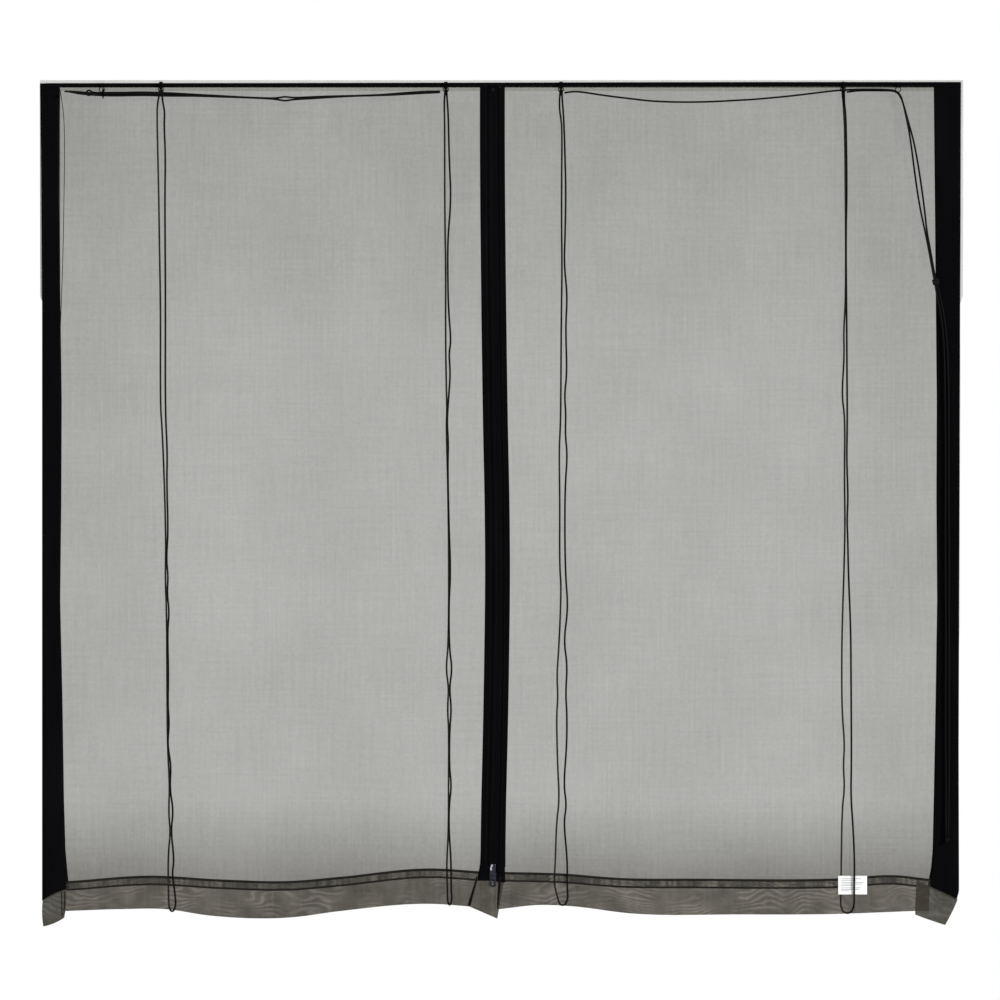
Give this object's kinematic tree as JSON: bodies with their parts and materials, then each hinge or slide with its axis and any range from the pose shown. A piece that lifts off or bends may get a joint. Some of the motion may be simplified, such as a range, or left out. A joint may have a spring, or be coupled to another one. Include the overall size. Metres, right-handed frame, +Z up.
{
  "type": "hanging mesh door curtain",
  "caption": "Black insect mesh curtain in two halves with a centre zip, folded tape edges that stick to hook strips, and roll-up cords on rings along the header.",
  "frame": {"origin": "middle of the back face of the hook strip along the top, where the curtain sticks to the lintel", "axes": "+X right as seen from the front, +Z up, -Y towards the front; +Y into the lintel"},
  "size_m": [2.438, 0.0332, 2.233],
  "materials": {
    "insect_mesh": "fine open weave of coated threads, matt",
    "doubled_mesh": "two layers of the same open weave",
    "hook_tape": "grey hook tape with an adhesive back",
    "black_webbing": "matt woven loop tape",
    "seam_thread": "folded mesh with two rows of stitching",
    "coil_plastic": "moulded nylon coil",
    "slider_metal": "bright plated",
    "tab_metal": "bright plated",
    "ring_steel": "nickel plated wire",
    "black_cord": "braided polyester",
    "label_white": "printed satin ribbon"
  },
  "bodies": {
    "header": {"cord_keeper": "black_cord", "guide_ring_1": "ring_steel", "guide_ring_2": "ring_steel", "guide_ring_3": "ring_steel", "guide_ring_4": "ring_steel", "guide_ring_5": "ring_steel", "guide_ring_6": "ring_steel", "hank_tie": "black_cord", "header_fold": "insect_mesh", "header_hook_strip": "hook_tape", "header_tape": "black_webbing", "left_cord_tail": "black_cord", "left_corner_patch": "black_webbing", "left_draw_cord": "black_cord", "left_hank": "black_cord", "left_hook_strip": "hook_tape", "left_mesh_panel": "insect_mesh", "left_return_cord": "black_cord", "left_side_tape": "black_webbing", "left_zip_coil": "coil_plastic", "left_zip_tape": "black_webbing", "lift_cord_1": "black_cord", "lift_cord_2": "black_cord", "lift_cord_3": "black_cord", "lift_cord_4": "black_cord", "lift_knot_1": "black_cord", "lift_knot_2": "black_cord", "lift_knot_3": "black_cord", "lift_knot_4": "black_cord", "pull_knot": "black_cord", "right_draw_cord_inner": "black_cord", "right_draw_cord_outer": "black_cord", "right_hook_strip": "hook_tape", "right_mesh_panel": "insect_mesh", "right_side_tape": "black_webbing", "right_zip_coil": "coil_plastic", "right_zip_tape": "black_webbing", "ring_strap_1": "black_webbing", "ring_strap_2": "black_webbing", "ring_strap_3": "black_webbing", "ring_strap_4": "black_webbing", "ring_strap_5": "black_webbing", "ring_strap_6": "black_webbing", "zip_top_stop": "tab_metal"},
    "left_hem_body": {"left_hem": "doubled_mesh", "left_hem_seam": "seam_thread", "left_corner_flap": "doubled_mesh", "left_zip_end": "black_webbing", "centre_flap": "doubled_mesh", "left_end_stop": "coil_plastic"},
    "right_hem_body": {"right_hem": "doubled_mesh", "right_hem_seam": "seam_thread", "right_corner_flap": "doubled_mesh", "right_zip_end": "black_webbing", "right_end_stop": "coil_plastic", "care_label": "label_white"},
    "slider_body": {"zip_slider": "slider_metal"},
    "tab_body": {"pull_tab": "tab_metal"}
  },
  "joints": [
    {"name": "right_roll", "type": "slide", "parent": "header", "child": "right_hem_body", "axis": [0, 0, -1], "range_m": [-1.9, 0], "deforming": ["right_mesh_panel", "right_side_tape", "right_zip_tape", "right_zip_coil", "lift_cord_3", "lift_cord_4"]},
    {"name": "left_roll", "type": "slide", "parent": "header", "child": "left_hem_body", "axis": [0, 0, -1], "range_m": [-1.9, 0], "deforming": ["left_mesh_panel", "left_side_tape", "left_zip_tape", "left_zip_coil", "lift_cord_1", "lift_cord_2"]},
    {"name": "slider_travel", "type": "slide", "parent": "right_hem_body", "child": "slider_body", "axis": [0, 0, 1], "range_m": [0, 2.035]},
    {"name": "tab_swing", "type": "hinge", "parent": "slider_body", "child": "tab_body", "pos_m": [-0.0227, -0.0094, -2.068], "axis": [-1, 0, 0], "range_deg": [0, 150]}
  ],
  "couplings": [
    {"joint": "left_roll", "follows": "right_roll", "ratio": 1}
  ]
}
